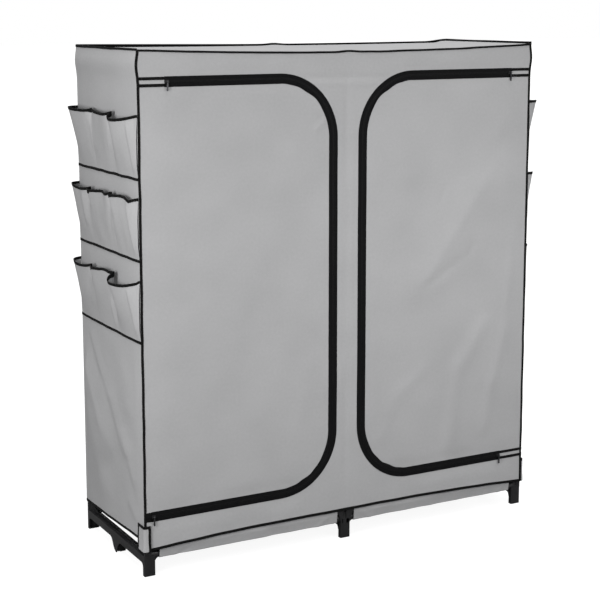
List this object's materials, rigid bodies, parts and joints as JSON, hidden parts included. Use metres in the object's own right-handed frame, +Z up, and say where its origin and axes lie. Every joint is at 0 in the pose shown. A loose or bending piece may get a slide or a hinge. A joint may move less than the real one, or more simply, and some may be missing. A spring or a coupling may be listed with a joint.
{
  "type": "portable fabric wardrobe",
  "caption": "Free-standing wardrobe of push-fit tubes on moulded feet under a grey cloth cover, with zipped doors and rows of side pockets.",
  "frame": {"origin": "on the floor under the middle of the body", "axes": "+X to the right across the front, +Y to the back, +Z up"},
  "size_m": [1.546, 0.5203, 1.626],
  "materials": {
    "cloth_grey": "matt non-woven cloth",
    "binding_black": "matt folded tape",
    "zip_black": "woven tape with a coil",
    "moulded_black": "fine moulded texture",
    "coated_steel": "satin powder coat",
    "slider_metal": "dark painted die casting",
    "pull_metal": "plain pressed metal"
  },
  "bodies": {
    "frame_and_cover": {"base_support_left": "moulded_black", "top_support_left": "moulded_black", "upright_front_left_lower": "coated_steel", "upright_front_left_upper": "coated_steel", "upright_rear_left_lower": "coated_steel", "upright_rear_left_upper": "coated_steel", "base_support_middle": "moulded_black", "top_support_middle": "moulded_black", "upright_front_middle_lower": "coated_steel", "upright_front_middle_upper": "coated_steel", "upright_rear_middle_lower": "coated_steel", "upright_rear_middle_upper": "coated_steel", "base_support_right": "moulded_black", "top_support_right": "moulded_black", "upright_front_right_lower": "coated_steel", "upright_front_right_upper": "coated_steel", "upright_rear_right_lower": "coated_steel", "upright_rear_right_upper": "coated_steel", "base_rail_front_left": "coated_steel", "top_rail_front_left": "coated_steel", "base_rail_rear_left": "coated_steel", "top_rail_rear_left": "coated_steel", "hanging_rod_left": "coated_steel", "base_rail_front_right": "coated_steel", "top_rail_front_right": "coated_steel", "base_rail_rear_right": "coated_steel", "top_rail_rear_right": "coated_steel", "hanging_rod_right": "coated_steel", "top_panel": "cloth_grey", "back_panel": "cloth_grey", "side_panel_left": "cloth_grey", "side_panel_right": "cloth_grey", "front_panel": "cloth_grey", "zip_tape_cover_left": "zip_black", "pocket_row_left_upper": "cloth_grey", "pocket_row_left_middle": "cloth_grey", "pocket_row_left_lower": "cloth_grey", "front_rail_wrap_left": "cloth_grey", "corner_flap_left": "cloth_grey", "zip_tape_cover_right": "zip_black", "pocket_row_right_upper": "cloth_grey", "pocket_row_right_middle": "cloth_grey", "pocket_row_right_lower": "cloth_grey", "front_rail_wrap_right": "cloth_grey", "corner_flap_right": "cloth_grey", "edge_binding": "binding_black"},
    "door_left": {"door_panel_left": "cloth_grey", "zip_tape_door_left": "zip_black"},
    "slider_left_top": {"zip_slider_left_top": "slider_metal"},
    "pull_left_top": {"zip_pull_left_top": "pull_metal"},
    "slider_left_bottom": {"zip_slider_left_bottom": "slider_metal"},
    "pull_left_bottom": {"zip_pull_left_bottom": "pull_metal"},
    "door_right": {"door_panel_right": "cloth_grey", "zip_tape_door_right": "zip_black"},
    "slider_right_top": {"zip_slider_right_top": "slider_metal"},
    "pull_right_top": {"zip_pull_right_top": "pull_metal"},
    "slider_right_bottom": {"zip_slider_right_bottom": "slider_metal"},
    "pull_right_bottom": {"zip_pull_right_bottom": "pull_metal"}
  },
  "joints": [
    {"name": "door_left_fold", "type": "hinge", "parent": "frame_and_cover", "child": "door_left", "pos_m": [-0.6, -0.2561, 0.86], "axis": [0, 0, -1], "range_deg": [0, 135]},
    {"name": "slider_left_top_run", "type": "slide", "parent": "frame_and_cover", "child": "slider_left_top", "axis": [1, 0, 0], "range_m": [0, 0.374]},
    {"name": "pull_left_top_swing", "type": "hinge", "parent": "slider_left_top", "child": "pull_left_top", "pos_m": [-0.626, -0.2614, 1.529], "axis": [-1, 0, 0], "range_deg": [0, 150]},
    {"name": "slider_left_bottom_run", "type": "slide", "parent": "frame_and_cover", "child": "slider_left_bottom", "axis": [1, 0, 0], "range_m": [0, 0.438]},
    {"name": "pull_left_bottom_swing", "type": "hinge", "parent": "slider_left_bottom", "child": "pull_left_bottom", "pos_m": [-0.69, -0.2614, 0.192], "axis": [-1, 0, 0], "range_deg": [0, 150]},
    {"name": "door_right_fold", "type": "hinge", "parent": "frame_and_cover", "child": "door_right", "pos_m": [0.6, -0.2561, 0.86], "axis": [0, 0, 1], "range_deg": [0, 135]},
    {"name": "slider_right_top_run", "type": "slide", "parent": "frame_and_cover", "child": "slider_right_top", "axis": [-1, 0, 0], "range_m": [0, 0.382]},
    {"name": "pull_right_top_swing", "type": "hinge", "parent": "slider_right_top", "child": "pull_right_top", "pos_m": [0.634, -0.2614, 1.529], "axis": [-1, 0, 0], "range_deg": [0, 150]},
    {"name": "slider_right_bottom_run", "type": "slide", "parent": "frame_and_cover", "child": "slider_right_bottom", "axis": [-1, 0, 0], "range_m": [0, 0.366]},
    {"name": "pull_right_bottom_swing", "type": "hinge", "parent": "slider_right_bottom", "child": "pull_right_bottom", "pos_m": [0.618, -0.2614, 0.192], "axis": [-1, 0, 0], "range_deg": [0, 150]}
  ]
}
